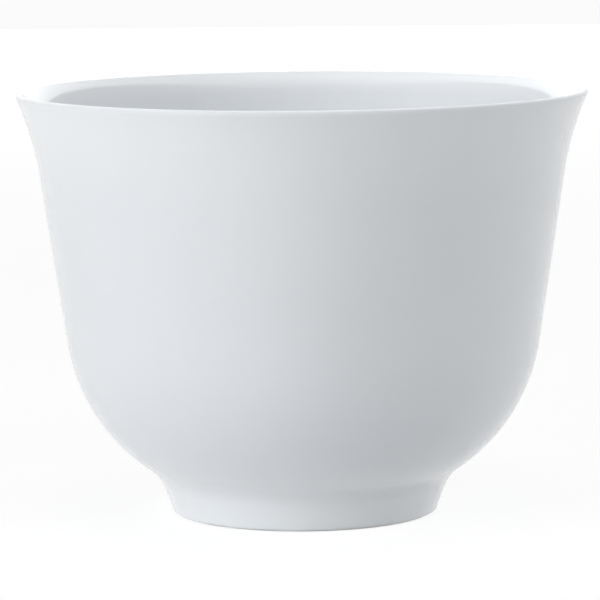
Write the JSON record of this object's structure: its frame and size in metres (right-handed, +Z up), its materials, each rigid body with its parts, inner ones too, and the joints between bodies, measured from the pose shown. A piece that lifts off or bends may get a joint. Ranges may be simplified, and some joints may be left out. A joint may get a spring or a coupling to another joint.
{
  "type": "tea cup",
  "caption": "Plain white handle-less Chinese tea cup in glazed porcelain, with a flared lip, a rounded belly and a turned foot ring; holds hot tea and is lifted by its lip and foot.",
  "frame": {"origin": "on the cup's axis, in the plane of the foot's standing edge", "axes": "+Z up along the cup's axis, out of its mouth; X and Y lie in the plane that it stands on and are free, because the cup is turned"},
  "size_m": [0.078, 0.078, 0.058],
  "materials": {
    "porcelain": "matte, bare fired porcelain",
    "slip": "matte, fired slip",
    "glaze": "gloss, cool white"
  },
  "bodies": {
    "root": {"foot_ring": "porcelain", "luting_slip": "slip", "bowl": "porcelain", "inner_glaze": "glaze", "outer_glaze": "glaze", "foot_well_glaze": "glaze"}
  },
  "joints": []
}
